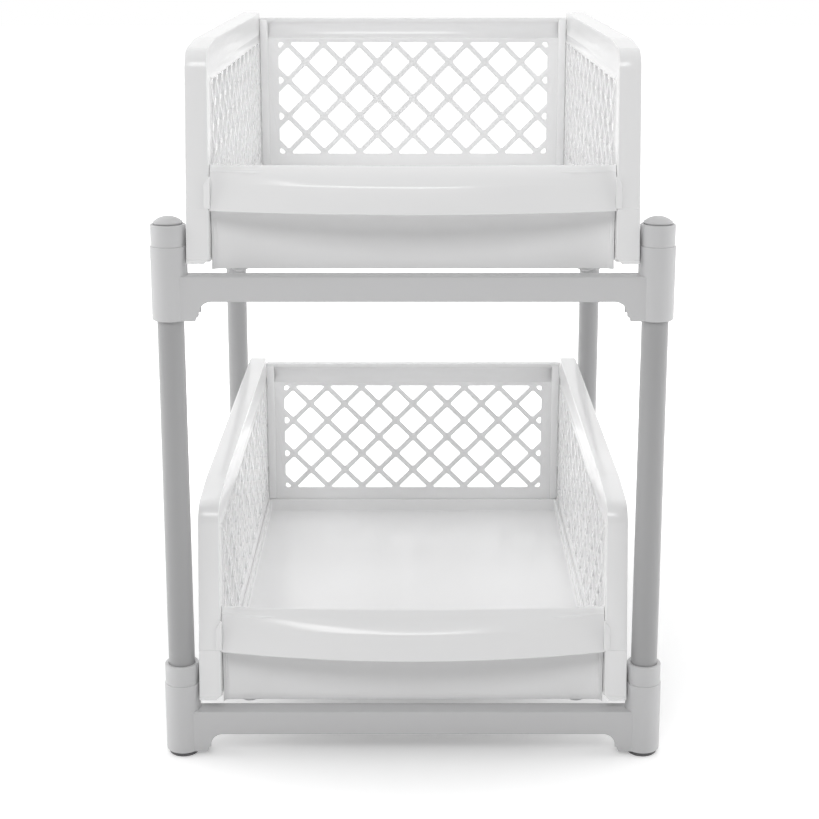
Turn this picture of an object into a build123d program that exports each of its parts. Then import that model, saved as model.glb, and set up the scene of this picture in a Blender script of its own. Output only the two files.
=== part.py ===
"""Two-tier under-sink organizer: a stand of four posts and two drawers that slide on guide rails.

Millimetres. The origin is at the middle of the footprint, on the floor. +X is to the right, +Y to the
back, +Z up. Each tier is drawn in its own frame, with its front posts at y = 0 and the top of its
crossbars at z = 0.
"""

import os
from math import sqrt

from build123d import *

# Posts and their ends
tube_diameter = 13.0
tube_wall = 1.0
tube_fit = 0.1
foot_diameter = 15.0
foot_height = 2.4
foot_chamfer = 0.6
foot_stem_length = 6.0
plug_fit = 0.1
cap_diameter = 14.0
cap_height = 3.2
cap_neck = 0.6
cap_stem_length = 8.0

# Crossbars
tier_pitch = 222.0
bar_height = 12.2
bar_depth = 11.0
bar_front = 6.8
bar_wall = 2.0
bar_rib = 1.6
bar_pockets = 6
bar_round = 0.8
sleeve_diameter = 17.6
sleeve_above_bar = 14.1
sleeve_below_bar = 9.4
sleeve_chamfer = 0.4
gusset_reach = 12.5
gusset_lean = 1.7
gusset_arc = 6.0
gusset_notch = 0.8

# Guide rails
ring_diameter = 16.8
ring_height = 10.2
ring_chamfer = 0.4
rail_width = 8.7
rail_top = 18.6
rail_thickness = 2.5
rail_setback = 5.0
rail_side_gap = 0.5
rail_post_gap = 0.5
rail_web = 2.0
rail_web_height = 7.6
rail_tab_width = 4.5
rail_tab_bite = 3.2
rail_stop_length = 4.0
rail_tail = 3.3
rail_stop_height = 3.2

# Drawers
drawer_width = 191.2
drawer_depth = 281.6
panel_thickness = 1.8
panel_fit = 0.2
running_gap = 0.3
side_bottom = 5.9
side_top = 108.0
side_tail = 5.8
stile_reach = 6.0
rim_width = 9.6
rim_thickness = 2.0
rim_draft = 0.8
rake = 9.5
corner_drop = 12.5
corner_slope_run = 54.0
corner_radius = 24.0
brow_radius = 100.0
rim_rear_radius = 4.0
stile_foot_chamfer = 2.6
runner_thickness = 2.0
runner_lip_height = 4.0
runner_lip_width = 1.8
travel = 200.0
hook_length = 3.0
hook_width = 1.4
hook_height = 6.4

# Lattice walls
lattice_bottom = 20.0
lattice_height = 69.6
lattice_pitch_z = 22.6
lattice_web = 3.0
back_lattice_pitch = 22.4
back_lattice_edge = 8.0
side_lattice_pitch = 23.2
side_lattice_front = 20.0
side_lattice_margin = 1.4

# Back panel
back_top = 104.5
band_height = 12.4
band_depth = 2.0
back_flange = 4.0
column_width = 5.0
column_depth = 1.2
column_round = 1.0
window_length = 6.0
window_height = 4.0
window_gap = 0.3
back_nub_low = 30.0
back_nub_pitch = 30.0
back_nub_count = 3

# Tray
tray_bottom = 2.4
tray_floor = 2.0
tray_top = 12.2
tray_wall = 1.5
tray_corner = 3.0
tray_rib = 1.6
tray_rib_height = 1.2
tray_cross_ribs = 5
tray_long_ribs = 3
clip_pitch = 40.0
clip_first = 40.0
clip_length = 10.0
clip_height = 2.4
clip_lift = 1.6
clip_gap = 0.4
back_clip_offset = 59.4

# Handle front
front_bottom = 1.7
front_wall = 2.0
front_foot_back = 5.5
front_hollow_back = 3.4
front_hollow_height = 16.0
front_waist_back = 2.6
front_waist_height = 31.0
front_side_gap = 2.4
lip_top = 51.5
lip_edge_height = 43.4
lip_bottom = 30.7
lip_edge_reach = 11.3
lip_reach = 15.3
lip_bow = 11.5
lip_round = 2.2
lip_round_steps = 4
tongue_width = 2.4
tongue_thickness = 1.0
tongue_low = 32.0
tongue_high = 47.0
ear_length = 14.0
ear_wall = 1.8
front_nub_lift = 3.0
front_nub_pitch = 8.0
front_nub_count = 2

# One overrun serves every cut
overrun = 1.0

# Places worked out from the sizes above
inner_x = drawer_width / 2
rim_x = inner_x + rim_width
sheet_x = inner_x + panel_thickness
sleeve_radius = sleeve_diameter / 2
ring_radius = ring_diameter / 2
bore_radius = tube_diameter / 2 + tube_fit
stem_radius = tube_diameter / 2 - tube_wall - plug_fit
bar_drop = bar_height + sleeve_below_bar
ring_top = sleeve_above_bar + ring_height
lower_tier_z = foot_height + bar_drop
tier_heights = {"lower": lower_tier_z, "upper": lower_tier_z + tier_pitch}
post_top = lower_tier_z + tier_pitch + ring_top
side_back = drawer_depth + side_tail
rail_stop_y = side_back + running_gap
rail_end = rail_stop_y + rail_stop_length + rail_tail
rail_inner_x = sheet_x + rail_side_gap
rail_outer_x = rail_inner_x + rail_width
rail_mid_x = (rail_inner_x + rail_outer_x) / 2
rail_underside = rail_top - rail_thickness
runner_bottom = rail_top + running_gap
post_x = rail_outer_x + rail_post_gap + ring_radius
post_spacing_y = rail_end + rail_setback
front_y = lip_reach - (lip_reach + post_spacing_y + sleeve_radius) / 2
clip_bottom = tray_bottom + tray_floor + clip_lift
clip_count = int((drawer_depth - clip_first) / clip_pitch)
tray_side_x = inner_x - panel_fit
tray_back = drawer_depth - panel_fit
tray_front = front_foot_back + front_wall + panel_fit
ear_bottom = tray_top + panel_fit
side_lattice_columns = int((drawer_depth - side_lattice_front - side_lattice_margin) / side_lattice_pitch)
back_lattice_columns = int((drawer_width - 2 * back_lattice_edge) / back_lattice_pitch + 1 / 2)


def span_box(x0, x1, y0, y1, z0, z1):
    """Box between two corners."""
    size = (abs(x1 - x0), abs(y1 - y0), abs(z1 - z0))
    centre = ((x0 + x1) / 2, (y0 + y1) / 2, (z0 + z1) / 2)
    return Pos(*centre) * Box(*size)


def upright(radius, bottom, top, x=0, y=0):
    """Cylinder standing between two heights."""
    return Pos(x, y, (bottom + top) / 2) * Cylinder(radius, top - bottom)


def post_places():
    """The four posts: name, side of X and y, from the front left one."""
    for row, y in (("front", 0), ("rear", post_spacing_y)):
        for side, sign in (("left", -1), ("right", 1)):
            yield f"{row}_{side}", sign * post_x, y


# Feet, tubes and caps


def foot():
    """Rubber foot: a disc under the sleeve and a stem that plugs the tube."""
    disc = upright(foot_diameter / 2, 0, foot_height)
    disc = chamfer(disc.edges().group_by(Axis.Z)[0], foot_chamfer)
    return disc + upright(stem_radius, 0, foot_height + foot_stem_length)


def post_tube():
    """Steel tube from the foot to the cap."""
    tube = upright(tube_diameter / 2, foot_height, post_top)
    return tube - upright(tube_diameter / 2 - tube_wall, 0, post_top + overrun)


def post_cap():
    """Domed plug on a narrow neck, with a stem inside the tube."""
    half_chord = cap_diameter / 2
    dome_radius = (half_chord**2 + cap_height**2) / (2 * cap_height)
    dome_base = post_top + cap_neck
    dome = Pos(0, 0, dome_base + cap_height - dome_radius) * Sphere(dome_radius)
    dome &= upright(half_chord, dome_base, dome_base + cap_height)
    neck = upright(half_chord - cap_neck, post_top, dome_base)
    return dome + neck + upright(stem_radius, post_top - cap_stem_length, dome_base)


# Crossbars


def gusset_outline():
    """Right half of the bar's front view, from the middle of its top to its underside."""
    foot_x = post_x - gusset_reach
    arc_x = foot_x - gusset_lean
    notch_z = -bar_height - gusset_arc - gusset_notch
    arc_end_z = -bar_height - gusset_arc
    square = Polyline(
        (0, -bar_height),
        (0, 0),
        (post_x, 0),
        (post_x, -bar_drop),
        (foot_x, -bar_drop),
        (arc_x + gusset_notch, notch_z),
        (arc_x, notch_z),
        (arc_x, arc_end_z),
    )
    arc = RadiusArc((arc_x, arc_end_z), (arc_x - gusset_arc, -bar_height), -gusset_arc)
    close = Line((arc_x - gusset_arc, -bar_height), (0, -bar_height))
    return square + arc + close


def crossbar():
    """One moulding: an open-bottomed bar with a gusset under each end and a sleeve round each post."""
    half = make_face(Plane.XZ * gusset_outline())
    beam = Pos(0, bar_depth - bar_front, 0) * extrude(half, amount=bar_depth, dir=(0, -1, 0))
    beam += mirror(beam, about=Plane.YZ)
    top_edges = beam.edges().filter_by(Axis.X).group_by(Axis.Z)[-1]
    beam = fillet(top_edges, bar_round)
    pocket_end = post_x - sleeve_radius - bar_wall
    pocket_pitch = 2 * pocket_end / bar_pockets
    for i in range(bar_pockets):
        start = -pocket_end + i * pocket_pitch
        beam -= span_box(
            start + bar_rib / 2,
            start + pocket_pitch - bar_rib / 2,
            -bar_front + bar_wall,
            bar_depth - bar_front - bar_wall,
            -bar_drop - overrun,
            -bar_wall,
        )
    for sign in (-1, 1):
        sleeve = upright(sleeve_radius, -bar_drop, sleeve_above_bar, sign * post_x)
        sleeve = chamfer(sleeve.edges().filter_by(GeomType.CIRCLE), sleeve_chamfer)
        beam += sleeve
    for sign in (-1, 1):
        x = sign * post_x
        beam -= upright(bore_radius, -bar_drop - overrun, sleeve_above_bar + overrun, x)
    return beam


# Guide rails


def guide_rail():
    """Right rail: a plate on a web, carried by a ring collar on the front and the rear post."""
    rail = span_box(rail_inner_x, rail_outer_x, rail_setback, rail_end, rail_underside, rail_top)
    web_bottom = rail_underside - rail_web_height
    web_x0 = rail_mid_x - rail_web / 2
    web_x1 = rail_mid_x + rail_web / 2
    rail += span_box(web_x0, web_x1, rail_setback, rail_end, web_bottom, rail_underside)
    front_stop_y = rail_setback + rail_stop_length
    rail += span_box(web_x1, rail_outer_x, rail_setback, front_stop_y, web_bottom, rail_underside)
    rail += span_box(
        rail_inner_x,
        rail_outer_x,
        rail_stop_y,
        rail_stop_y + rail_stop_length,
        rail_top,
        rail_top + rail_stop_height,
    )
    tab_x = post_x - ring_radius + rail_tab_bite
    for y0, y1 in ((rail_setback, rail_setback + rail_tab_width), (rail_end - rail_tab_width, rail_end)):
        rail += span_box(rail_outer_x, tab_x, y0, y1, rail_underside, rail_top)
    for y in (0, post_spacing_y):
        ring = upright(ring_radius, sleeve_above_bar, ring_top, post_x, y)
        rail += chamfer(ring.edges().filter_by(GeomType.CIRCLE).group_by(Axis.Z)[-1], ring_chamfer)
    for y in (0, post_spacing_y):
        rail -= upright(bore_radius, sleeve_above_bar - overrun, ring_top + overrun, post_x, y)
    return rail


# Lattice shared by the back and side panels


def lattice(width, pitch_x, first_x):
    """Diamond holes clipped to a rectangle that is centred in x and starts at z = 0."""
    half_x = (pitch_x - lattice_web * sqrt(2)) / 2
    half_z = (lattice_pitch_z - lattice_web * sqrt(2)) / 2
    columns = int(width / pitch_x) + 3
    rows = int(lattice_height / lattice_pitch_z) + 2
    middle_z = lattice_height / 2
    window = Pos(0, middle_z) * Rectangle(width, lattice_height)
    holes = Sketch()
    for row in range(-rows, rows + 1):
        z = middle_z + row * lattice_pitch_z / 2
        shift = first_x if row % 2 == 0 else first_x - pitch_x / 2
        for column in range(columns):
            x = shift + column * pitch_x - width / 2
            reach_x, reach_z = abs(x) - half_x, abs(z - middle_z) - half_z
            if reach_x >= width / 2 or reach_z >= lattice_height / 2:
                continue
            diamond = Polygon((x - half_x, z), (x, z - half_z), (x + half_x, z), (x, z + half_z), align=None)
            holes += diamond & window
    return holes


# Drawer pieces, right side panel first


def side_outline():
    """Side view of a side panel: raked front edge, big front corner and a gentle brow."""
    front_foot = (-stile_reach, side_bottom)
    corner = (rake - stile_reach, side_top - corner_drop)
    brow = (rake - stile_reach + corner_slope_run, side_top)
    rear_top = (side_back, side_top)
    rear_bottom = (side_back, side_bottom)
    face = make_face(Polyline(front_foot, corner, brow, rear_top, rear_bottom, close=True))
    for point, radius in ((corner, corner_radius), (brow, brow_radius), (rear_top, rim_rear_radius)):
        face = fillet(face.vertices().sort_by_distance((*point, 0))[0], radius)
    return face


def side_panel():
    """Right side panel: lattice sheet, outward rim, runner rib, stop hook and tray clips."""
    outline = side_outline()
    side_plane = Plane.YZ.offset(inner_x)
    panel = extrude(side_plane * outline, amount=rim_width)
    hollow = offset(outline, amount=-rim_thickness)
    panel -= extrude(Plane.YZ.offset(sheet_x) * hollow, amount=rim_width)
    draft = Polyline(
        (rim_x, side_bottom),
        (rim_x - rim_draft, side_top),
        (rim_x - rim_draft, side_top + overrun),
        (rim_x + overrun, side_top + overrun),
        (rim_x + overrun, side_bottom),
        close=True,
    )
    draft_length = side_back + stile_reach + 2 * overrun
    wedge = extrude(make_face(Plane.XZ * draft), amount=draft_length, dir=(0, -1, 0))
    panel -= Pos(0, side_back + overrun, 0) * wedge
    panel -= span_box(
        sheet_x,
        rim_x + overrun,
        side_back - rim_thickness - overrun,
        side_back + overrun,
        side_bottom + rim_thickness,
        runner_bottom,
    )
    foot_cut = Polyline(
        (inner_x, side_bottom),
        (inner_x + stile_foot_chamfer, side_bottom),
        (inner_x, side_bottom + stile_foot_chamfer),
        close=True,
    )
    panel -= extrude(make_face(Plane.XZ * foot_cut), amount=stile_reach + overrun, dir=(0, -1, 0))
    panel += span_box(
        sheet_x,
        rail_outer_x - runner_lip_width,
        0,
        side_back,
        runner_bottom,
        runner_bottom + runner_thickness,
    )
    panel += span_box(
        rail_outer_x - runner_lip_width,
        rail_outer_x,
        0,
        side_back,
        runner_bottom,
        runner_bottom + runner_lip_height,
    )
    hook_y = rail_setback + rail_stop_length + running_gap + travel
    hook_x = rail_mid_x + rail_web / 2 + running_gap
    panel += span_box(
        hook_x,
        hook_x + hook_width,
        hook_y,
        hook_y + hook_length,
        side_bottom + rim_thickness / 2,
        side_bottom + rim_thickness + hook_height,
    )
    width = (side_lattice_columns * side_lattice_pitch) + side_lattice_margin
    holes = lattice(width, side_lattice_pitch, side_lattice_margin / 2)
    place = Plane.YZ.offset(inner_x - overrun) * Pos(side_lattice_front + width / 2, lattice_bottom)
    panel -= extrude(place * holes, amount=panel_thickness + 2 * overrun)
    for y0, y1, z0, z1 in window_places():
        panel -= span_box(
            inner_x - overrun,
            sheet_x + overrun,
            y0 - window_gap,
            y1 + window_gap,
            z0 - window_gap,
            z1 + window_gap,
        )
    for y in clip_places():
        panel += span_box(
            inner_x - panel_fit - tray_wall,
            inner_x,
            y - clip_length / 2,
            y + clip_length / 2,
            clip_bottom,
            clip_bottom + clip_height,
        )
    return panel


def clip_places():
    """Where the tray's side clips sit, front to back."""
    return [clip_first + i * clip_pitch for i in range(clip_count)]


def front_nubs():
    """Side view boxes of the nubs on the front's ears."""
    y0 = tray_front + (ear_length - window_length) / 2
    for i in range(front_nub_count):
        z0 = ear_bottom + front_nub_lift + i * front_nub_pitch
        yield y0, y0 + window_length, z0, z0 + window_height


def back_nubs():
    """Side view boxes of the nubs on the back panel's ends."""
    for i in range(back_nub_count):
        z0 = back_nub_low + i * back_nub_pitch
        yield drawer_depth, drawer_depth + panel_thickness, z0, z0 + window_height


def window_places():
    """Side view boxes of every nub that snaps into a side panel."""
    yield from front_nubs()
    yield from back_nubs()


def tray():
    """Floor with a low upstand, clip slots and ribs below."""
    depth = tray_back - tray_front
    plan = Pos(0, tray_front + depth / 2) * RectangleRounded(2 * tray_side_x, depth, tray_corner)
    inside = offset(plan, amount=-tray_wall)
    body = extrude(Pos(0, 0, tray_bottom) * plan, amount=tray_top - tray_bottom)
    floor_top = tray_bottom + tray_floor
    body -= extrude(Pos(0, 0, floor_top) * inside, amount=tray_top - floor_top + overrun)
    for y in clip_places():
        for sign in (-1, 1):
            body -= span_box(
                sign * (tray_side_x - tray_wall - overrun),
                sign * (tray_side_x + overrun),
                y - clip_length / 2 - clip_gap,
                y + clip_length / 2 + clip_gap,
                clip_bottom - clip_gap,
                clip_bottom + clip_height + clip_gap,
            )
    for sign in (-1, 1):
        x = sign * back_clip_offset
        body -= span_box(
            x - clip_length / 2 - clip_gap,
            x + clip_length / 2 + clip_gap,
            tray_back - tray_wall - overrun,
            tray_back + overrun,
            clip_bottom - clip_gap,
            clip_bottom + clip_height + clip_gap,
        )
    rib_z = tray_bottom - tray_rib_height
    rib_front, rib_back = tray_front + tray_corner, tray_back - tray_corner
    rib_side = tray_side_x - tray_corner
    for i in range(tray_cross_ribs):
        y = rib_front + (i + 1) * (rib_back - rib_front) / (tray_cross_ribs + 1)
        body += span_box(-rib_side, rib_side, y - tray_rib / 2, y + tray_rib / 2, rib_z, tray_bottom)
    for i in range(tray_long_ribs):
        x = -rib_side + (i + 1) * 2 * rib_side / (tray_long_ribs + 1)
        body += span_box(x - tray_rib / 2, x + tray_rib / 2, rib_front, rib_back, rib_z, tray_bottom)
    return body


def back_panel():
    """Lattice sheet with a channelled band along its top, a rear flange, columns and clips."""
    half = inner_x - panel_fit
    front, back = drawer_depth, drawer_depth + panel_thickness
    band_low = back_top - band_height
    band_high = back_top - rim_thickness
    band_mid = (band_low + band_high) / 2
    outline = (
        Polyline((front, band_low), (front, side_bottom), (back, side_bottom), (back, band_low))
        + ThreePointArc((back, band_low), (back + band_depth, band_mid), (back, band_high))
        + Polyline(
            (back, band_high),
            (back + back_flange, band_high),
            (back + back_flange, back_top),
            (front, back_top),
            (front, band_high),
        )
        + ThreePointArc((front, band_high), (front + band_depth, band_mid), (front, band_low))
    )
    profile = make_face(Plane.YZ.offset(-half) * outline)
    panel = extrude(profile, amount=2 * half, dir=(1, 0, 0))
    for sign in (-1, 1):
        column = span_box(
            sign * (half - column_width),
            sign * half,
            front - column_depth,
            back,
            tray_top + panel_fit,
            back_top,
        )
        inner_edge = column.edges().filter_by(Axis.Z).group_by(Axis.Y)[0]
        inner_edge = inner_edge.sort_by(Axis.X)[0 if sign > 0 else -1]
        panel += fillet(inner_edge, column_round)
    width = (back_lattice_columns - 1 / 2) * back_lattice_pitch
    holes = lattice(width, back_lattice_pitch, back_lattice_pitch / 4)
    place = Plane.XZ.offset(-back - overrun) * Pos(0, lattice_bottom)
    panel -= extrude(place * holes, amount=panel_thickness + 2 * overrun)
    for y0, y1, z0, z1 in back_nubs():
        for sign in (-1, 1):
            panel += span_box(sign * half, sign * sheet_x, y0, y1, z0, z1)
    for sign in (-1, 1):
        x = sign * back_clip_offset
        panel += span_box(
            x - clip_length / 2,
            x + clip_length / 2,
            tray_back - tray_wall,
            front,
            clip_bottom,
            clip_bottom + clip_height,
        )
    return panel


def lip_layer(z, reach, bow, back, half):
    """Level slice of the lip: straight at the back, bowed at the front."""
    corner_y = bow - reach
    sides = Polyline((-half, corner_y), (-half, back), (half, back), (half, corner_y))
    if bow:
        edge = ThreePointArc((half, corner_y), (0, -reach), (-half, corner_y))
    else:
        edge = Line((half, corner_y), (-half, corner_y))
    return Pos(0, 0, z) * make_face(sides + edge)


def blend_at(low, corner, high, share):
    """Point of a round that leaves one line and joins the next."""
    return low * (1 - share) ** 2 + 2 * corner * share * (1 - share) + high * share**2


def lip_outside(half):
    """Lip as a solid block: slanted front, rounded upper edge, and a top that flattens to a straight back."""
    fall = (lip_reach - lip_edge_reach) / (lip_edge_height - lip_bottom)
    climb_share = lip_round / (lip_top - lip_edge_height)
    layers = [lip_layer(lip_bottom, lip_reach, lip_bow, front_wall, half)]
    for step in range(lip_round_steps + 1):
        share = step / lip_round_steps
        z = blend_at(lip_edge_height - lip_round, lip_edge_height, lip_edge_height + lip_round, share)
        low_reach = lip_edge_reach + fall * lip_round
        high_reach = lip_edge_reach * (1 - climb_share)
        reach = blend_at(low_reach, lip_edge_reach, high_reach, share)
        bow = blend_at(lip_bow, lip_bow, lip_bow * (1 - climb_share), share)
        layers.append(lip_layer(z, reach, bow, front_wall, half))
    layers.append(lip_layer(lip_top, 0, 0, front_wall, half))
    return loft(layers, ruled=True)


def lip_inside(half):
    """Hollow of the lip, open below."""
    fall = (lip_reach - lip_edge_reach) / (lip_edge_height - lip_bottom)
    back = front_wall + overrun
    low = lip_bottom - overrun
    layers = (
        lip_layer(low, lip_reach + fall * overrun - front_wall, lip_bow, back, half),
        lip_layer(lip_edge_height - front_wall / 2, lip_edge_reach - front_wall, lip_bow, back, half),
        lip_layer(lip_top - front_wall, -front_wall / 2, 0, back, half),
    )
    return loft(layers, ruled=True)


def front_panel(half, outline):
    """Stretch of the panel, extruded to a half width."""
    profile = make_face(Plane.YZ.offset(-half) * outline)
    return extrude(profile, amount=2 * half, dir=(1, 0, 0))


def stile_front(z):
    """Front of a side panel's raked rim at a height."""
    return rake * (z - side_bottom) / (side_top - corner_drop - side_bottom) - stile_reach


def end_block(start, length, low, high):
    """Block as high as the tongue, between a front and a back at its foot and at its top."""
    corners = (low[0], tongue_low), (low[1], tongue_low), (high[1], tongue_high), (high[0], tongue_high)
    face = make_face(Plane.YZ.offset(start) * Polyline(*corners, close=True))
    return extrude(face, amount=length, dir=(1, 0, 0))


def end_tongue(half):
    """Right end of the lip: a wall that closes it and a tongue that laps over the side panel's rim."""
    low_back, high_back = stile_front(tongue_low) - panel_fit, stile_front(tongue_high) - panel_fit
    low_front, high_front = low_back - tongue_thickness, high_back - tongue_thickness
    wall = end_block(half - ear_wall, ear_wall, (low_front, front_wall), (high_front, front_wall))
    return wall + end_block(half, tongue_width, (low_front, low_back), (high_front, high_back))


def front():
    """Bowed handle lip over a recessed hollow panel, with an ear at each end."""
    half = inner_x - panel_fit
    panel_half = inner_x - front_side_gap
    waist = (front_waist_back, front_waist_height)
    waist_inside = (front_waist_back + front_wall, front_waist_height)
    upper = Polyline(waist, (0, lip_top), (front_wall, lip_top), waist_inside, close=True)
    lower = (
        Line(waist, waist_inside)
        + ThreePointArc(
            waist_inside,
            (front_hollow_back + front_wall, front_hollow_height),
            (front_foot_back + front_wall, front_bottom),
        )
        + Line((front_foot_back + front_wall, front_bottom), (front_foot_back, front_bottom))
        + ThreePointArc((front_foot_back, front_bottom), (front_hollow_back, front_hollow_height), waist)
    )
    lip = lip_outside(half) - lip_inside(half + overrun)
    body = lip + front_panel(half, upper) + front_panel(panel_half, lower)
    ear_y = front_waist_back + front_wall / 2
    ear_top = front_waist_height
    tongue = end_tongue(half)
    for sign in (-1, 1):
        step = span_box(sign * (panel_half - front_wall), sign * half, ear_y, tray_front, ear_bottom, ear_top)
        ear_back = tray_front + ear_length
        ear = span_box(sign * (half - ear_wall), sign * half, ear_y, ear_back, ear_bottom, ear_top)
        body += step + ear + (tongue if sign > 0 else mirror(tongue, about=Plane.YZ))
        for y0, y1, z0, z1 in front_nubs():
            body += span_box(sign * half, sign * sheet_x, y0, y1, z0, z1)
    return body


def stand_pieces():
    """Every piece of the stand in its place: name and solid."""
    disc, tube, cap, bar, rail = foot(), post_tube(), post_cap(), crossbar(), guide_rail()
    for name, x, y in post_places():
        place = Pos(x, front_y + y, 0)
        yield f"foot_{name}", place * disc
        yield f"post_{name}", place * tube
        yield f"post_cap_{name}", place * cap
    for tier, z in tier_heights.items():
        yield f"{tier}_front_crossbar", Pos(0, front_y, z) * bar
        yield f"{tier}_rear_crossbar", Pos(0, front_y + post_spacing_y, z) * mirror(bar, about=Plane.XZ)
        yield f"{tier}_right_guide_rail", Pos(0, front_y, z) * rail
        yield f"{tier}_left_guide_rail", Pos(0, front_y, z) * mirror(rail, about=Plane.YZ)


def drawer_pieces():
    """Every piece of both drawers, closed: name and solid."""
    right = side_panel()
    pieces = {
        "tray": tray(),
        "right_side": right,
        "left_side": mirror(right, about=Plane.YZ),
        "back_panel": back_panel(),
        "handle_front": front(),
    }
    for tier, z in tier_heights.items():
        for name, solid in pieces.items():
            yield f"{tier}_{name}", Pos(0, front_y, z) * solid


os.makedirs("parts", exist_ok=True)
for maker in (stand_pieces, drawer_pieces):
    for name, solid in maker():
        export_step(solid, f"parts/{name}.step")
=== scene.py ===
from math import asin, ceil, cos, pi, radians, sin, sqrt, tan

import bmesh
import bpy
from mathutils import Matrix, Vector
from mathutils.geometry import tessellate_polygon


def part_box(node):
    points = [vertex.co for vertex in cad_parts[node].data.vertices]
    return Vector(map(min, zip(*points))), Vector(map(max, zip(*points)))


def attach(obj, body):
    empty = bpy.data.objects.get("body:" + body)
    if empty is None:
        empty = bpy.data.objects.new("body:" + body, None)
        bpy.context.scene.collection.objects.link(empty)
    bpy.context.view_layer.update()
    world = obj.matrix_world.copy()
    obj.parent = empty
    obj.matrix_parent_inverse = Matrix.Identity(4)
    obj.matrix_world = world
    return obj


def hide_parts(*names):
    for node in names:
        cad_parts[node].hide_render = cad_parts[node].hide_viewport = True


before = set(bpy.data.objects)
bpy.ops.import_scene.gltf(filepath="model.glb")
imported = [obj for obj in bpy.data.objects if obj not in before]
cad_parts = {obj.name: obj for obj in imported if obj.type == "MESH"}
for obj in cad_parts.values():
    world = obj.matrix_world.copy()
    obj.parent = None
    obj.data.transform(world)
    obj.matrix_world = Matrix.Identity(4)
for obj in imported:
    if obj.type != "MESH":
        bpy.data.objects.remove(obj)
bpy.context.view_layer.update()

# Post tubes
# Four round steel tubes, powder coated grey, stand from the feet to the end caps.
# Each is cut square, with its ends eased, and slides through the sleeves of both tiers.
mm = 0.001
smooth_angle = radians(28)
corner_steps = 3
round_segments = 72
least_turn = 1e-4
corner_share = 0.45
patch_detail = 4
grain_detail = 3


def rounded(corners, radius, steps=corner_steps):
    """Closed outline with its corners turned into arcs, of one radius or of one for each corner."""
    points = []
    count = len(corners)
    for i, corner in enumerate(corners):
        here = Vector(corner)
        before, after = Vector(corners[i - 1]), Vector(corners[(i + 1) % count])
        size = radius[i] if isinstance(radius, (list, tuple)) else radius
        come, go = here - before, after - here
        turn = -come.angle_signed(go, 0) if come.length and go.length else 0
        if not size or abs(turn) < least_turn:
            points.append(here)
            continue
        room = corner_share * min(come.length, go.length)
        reach = min(size * tan(abs(turn) / 2), room)
        bend = reach / tan(abs(turn) / 2)
        start = here - come.normalized() * reach
        side = Vector((-come.y, come.x)).normalized() * (bend if turn > 0 else -bend)
        middle = start + side
        for k in range(steps + 1):
            points.append(middle + Matrix.Rotation(turn * k / steps, 2) @ (start - middle))
    return points


def skin(bm, rings, ends=True, loop=False):
    """Faces between a row of closed rings. The ends are capped, or the last ring joins the first."""
    rows = [[bm.verts.new(point) for point in ring] for ring in rings]
    count = len(rings[0])
    pairs = list(zip(rows, rows[1:]))
    if loop:
        pairs.append((rows[-1], rows[0]))
    for low, high in pairs:
        for i in range(count):
            j = (i + 1) % count
            bm.faces.new((low[i], low[j], high[j], high[i]))
    if ends and not loop:
        bm.faces.new(rows[0][::-1])
        bm.faces.new(rows[-1])
    return rows


def turned(bm, profile, x=0, y=0, segments=round_segments, loop=True):
    """Round part: a profile of (radius, height) points turned about an upright axis."""
    rings = []
    for radius, height in profile:
        ring = []
        for k in range(segments):
            angle = 2 * pi * k / segments
            ring.append((x + radius * cos(angle), y + radius * sin(angle), height))
        rings.append(ring)
    skin(bm, rings, ends=not loop, loop=loop)


def mesh_of(bm, name, material):
    """Mesh in metres from a model in millimetres, with soft shading on its curves only."""
    bmesh.ops.recalc_face_normals(bm, faces=bm.faces)
    mesh = bpy.data.meshes.new(name)
    bm.to_mesh(mesh)
    bm.free()
    mesh.transform(Matrix.Scale(mm, 4))
    mesh.materials.append(material)
    mesh.shade_smooth()
    mesh.set_sharp_from_angle(angle=smooth_angle)
    return mesh


def set_piece(name, mesh, node, body, place=(0, 0, 0), turn=0):
    """Piece that stands for a node of the frame and moves with its body."""
    piece = bpy.data.objects.new(name, mesh)
    bpy.context.collection.objects.link(piece)
    piece.location = Vector(place) * mm
    piece.rotation_euler.z = turn
    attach(piece, body)
    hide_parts(node)
    return piece


def finish(name, colour, roughness, shade, patch, grain, depth, stretch=(1, 1, 1)):
    """Moulded or coated surface: faint patches of tone and gloss over a fine grain."""
    material = bpy.data.materials.new(name)
    material.use_nodes = True
    nodes, links = material.node_tree.nodes, material.node_tree.links
    shader = nodes["Principled BSDF"]
    spot = nodes.new("ShaderNodeTexCoord")
    scale = nodes.new("ShaderNodeMapping")
    scale.inputs["Scale"].default_value = stretch
    links.new(spot.outputs["Object"], scale.inputs["Vector"])
    patches = nodes.new("ShaderNodeTexNoise")
    patches.inputs["Scale"].default_value = patch
    patches.inputs["Detail"].default_value = patch_detail
    links.new(scale.outputs["Vector"], patches.inputs["Vector"])
    tone = nodes.new("ShaderNodeMix")
    tone.data_type = "RGBA"
    tone.inputs["A"].default_value = (*[c * (1 - shade) for c in colour], 1)
    tone.inputs["B"].default_value = (*[min(c * (1 + shade), 1) for c in colour], 1)
    links.new(patches.outputs["Fac"], tone.inputs["Factor"])
    links.new(tone.outputs["Result"], shader.inputs["Base Color"])
    gloss = nodes.new("ShaderNodeMapRange")
    gloss.inputs["To Min"].default_value = roughness[0]
    gloss.inputs["To Max"].default_value = roughness[1]
    links.new(patches.outputs["Fac"], gloss.inputs["Value"])
    links.new(gloss.outputs["Result"], shader.inputs["Roughness"])
    fine = nodes.new("ShaderNodeTexNoise")
    fine.inputs["Scale"].default_value = grain
    fine.inputs["Detail"].default_value = grain_detail
    links.new(scale.outputs["Vector"], fine.inputs["Vector"])
    bump = nodes.new("ShaderNodeBump")
    bump.inputs["Strength"].default_value = 1
    bump.inputs["Distance"].default_value = depth * mm
    links.new(fine.outputs["Fac"], bump.inputs["Height"])
    links.new(bump.outputs["Normal"], shader.inputs["Normal"])
    return material


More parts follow.
